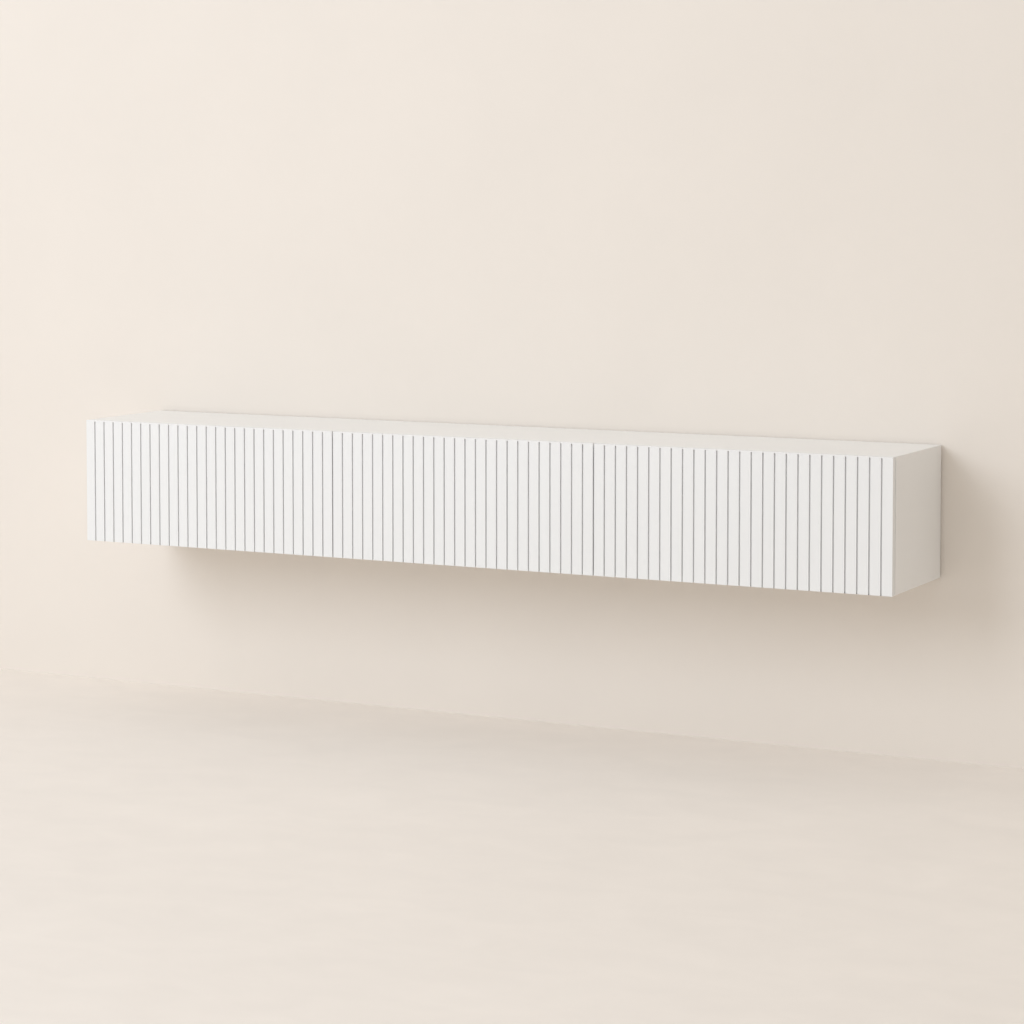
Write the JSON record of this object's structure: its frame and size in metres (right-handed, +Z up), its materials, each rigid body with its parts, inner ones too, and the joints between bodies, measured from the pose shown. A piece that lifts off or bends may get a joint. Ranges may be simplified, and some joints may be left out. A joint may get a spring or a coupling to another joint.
{
  "type": "floating media console",
  "caption": "Wall-hung low media console with handle-less drop-down flaps, upright grooved fronts, lid stays, push latches, cable outlets and a wall rail.",
  "frame": {"origin": "on the wall plane, at the middle of the wall rail's screw line", "axes": "+X along the wall to the right as seen from the front, +Y into the wall, +Z up"},
  "size_m": [2.1, 0.33, 0.3],
  "materials": {
    "flap_lacquer": "satin",
    "carcass_lacquer": "satin",
    "back_board_foil": "matte",
    "beech": "matte",
    "zinc_plated_steel": "satin",
    "nickel_plated_steel": "satin",
    "white_plastic": "matte",
    "grey_plastic": "matte",
    "buffer_rubber": "matte"
  },
  "bodies": {
    "carcass": {"top_panel": "carcass_lacquer", "bottom_panel": "carcass_lacquer", "left_side_panel": "carcass_lacquer", "right_side_panel": "carcass_lacquer", "left_divider": "carcass_lacquer", "right_divider": "carcass_lacquer", "mitre_splines": "beech", "left_back_panel": "back_board_foil", "middle_back_panel": "back_board_foil", "right_back_panel": "back_board_foil", "cable_grommets": "white_plastic", "wall_buffers": "buffer_rubber", "wall_rail": "zinc_plated_steel", "left_end_hanger_case": "white_plastic", "left_end_hanger_hook": "zinc_plated_steel", "left_inner_hanger_case": "white_plastic", "left_inner_hanger_hook": "zinc_plated_steel", "right_inner_hanger_case": "white_plastic", "right_inner_hanger_hook": "zinc_plated_steel", "right_end_hanger_case": "white_plastic", "right_end_hanger_hook": "zinc_plated_steel", "hanger_adjusting_screws": "zinc_plated_steel", "left_flap_hinge_plates": "nickel_plated_steel", "left_stay_damper": "grey_plastic", "left_latch_case": "white_plastic", "middle_flap_hinge_plates": "nickel_plated_steel", "middle_stay_damper": "grey_plastic", "middle_latch_case": "white_plastic", "right_flap_hinge_plates": "nickel_plated_steel", "right_stay_damper": "grey_plastic", "right_latch_case": "white_plastic"},
    "left_flap": {"left_flap_panel": "flap_lacquer", "left_flap_hinge_leaves": "nickel_plated_steel", "left_flap_hinge_pins": "nickel_plated_steel", "left_stay_bracket": "nickel_plated_steel", "left_strike_plate": "nickel_plated_steel"},
    "left_crank": {"left_stay_crank": "nickel_plated_steel"},
    "left_link": {"left_stay_link": "nickel_plated_steel"},
    "left_plunger": {"left_latch_plunger": "grey_plastic"},
    "middle_flap": {"middle_flap_panel": "flap_lacquer", "middle_flap_hinge_leaves": "nickel_plated_steel", "middle_flap_hinge_pins": "nickel_plated_steel", "middle_stay_bracket": "nickel_plated_steel", "middle_strike_plate": "nickel_plated_steel"},
    "middle_crank": {"middle_stay_crank": "nickel_plated_steel"},
    "middle_link": {"middle_stay_link": "nickel_plated_steel"},
    "middle_plunger": {"middle_latch_plunger": "grey_plastic"},
    "right_flap": {"right_flap_panel": "flap_lacquer", "right_flap_hinge_leaves": "nickel_plated_steel", "right_flap_hinge_pins": "nickel_plated_steel", "right_stay_bracket": "nickel_plated_steel", "right_strike_plate": "nickel_plated_steel"},
    "right_crank": {"right_stay_crank": "nickel_plated_steel"},
    "right_link": {"right_stay_link": "nickel_plated_steel"},
    "right_plunger": {"right_latch_plunger": "grey_plastic"}
  },
  "joints": [
    {"name": "left_flap_hinge", "type": "hinge", "parent": "carcass", "child": "left_flap", "pos_m": [-0.69651, -0.322, -0.221], "axis": [1, 0, 0], "range_deg": [0, 90]},
    {"name": "left_crank_spindle", "type": "hinge", "parent": "carcass", "child": "left_crank", "pos_m": [-1.0162, -0.17, -0.141], "axis": [1, 0, 0], "range_deg": [0, 90]},
    {"name": "left_link_elbow", "type": "hinge", "parent": "left_crank", "child": "left_link", "pos_m": [-1.01315, -0.151, -0.036], "axis": [1, 0, 0], "range_deg": [-90, 0]},
    {"name": "left_latch_push", "type": "slide", "parent": "carcass", "child": "left_plunger", "axis": [0, 1, 0], "range_m": [0, 0.0025], "stiffness_N_per_m": 200, "springref_m": -0.012},
    {"name": "middle_flap_hinge", "type": "hinge", "parent": "carcass", "child": "middle_flap", "pos_m": [0, -0.322, -0.221], "axis": [1, 0, 0], "range_deg": [0, 90]},
    {"name": "middle_crank_spindle", "type": "hinge", "parent": "carcass", "child": "middle_crank", "pos_m": [-0.31663, -0.17, -0.141], "axis": [1, 0, 0], "range_deg": [0, 90]},
    {"name": "middle_link_elbow", "type": "hinge", "parent": "middle_crank", "child": "middle_link", "pos_m": [-0.31358, -0.151, -0.036], "axis": [1, 0, 0], "range_deg": [-90, 0]},
    {"name": "middle_latch_push", "type": "slide", "parent": "carcass", "child": "middle_plunger", "axis": [0, 1, 0], "range_m": [0, 0.0025], "stiffness_N_per_m": 200, "springref_m": -0.012},
    {"name": "right_flap_hinge", "type": "hinge", "parent": "carcass", "child": "right_flap", "pos_m": [0.69651, -0.322, -0.221], "axis": [1, 0, 0], "range_deg": [0, 90]},
    {"name": "right_crank_spindle", "type": "hinge", "parent": "carcass", "child": "right_crank", "pos_m": [1.0162, -0.17, -0.141], "axis": [1, 0, 0], "range_deg": [0, 90]},
    {"name": "right_link_elbow", "type": "hinge", "parent": "right_crank", "child": "right_link", "pos_m": [1.01315, -0.151, -0.036], "axis": [1, 0, 0], "range_deg": [-90, 0]},
    {"name": "right_latch_push", "type": "slide", "parent": "carcass", "child": "right_plunger", "axis": [0, 1, 0], "range_m": [0, 0.0025], "stiffness_N_per_m": 200, "springref_m": -0.012}
  ],
  "couplings": [
    {"joint": "left_crank_spindle", "follows": "left_flap_hinge", "ratio": 1},
    {"joint": "left_link_elbow", "follows": "left_flap_hinge", "ratio": -1},
    {"joint": "middle_crank_spindle", "follows": "middle_flap_hinge", "ratio": 1},
    {"joint": "middle_link_elbow", "follows": "middle_flap_hinge", "ratio": -1},
    {"joint": "right_crank_spindle", "follows": "right_flap_hinge", "ratio": 1},
    {"joint": "right_link_elbow", "follows": "right_flap_hinge", "ratio": -1}
  ]
}
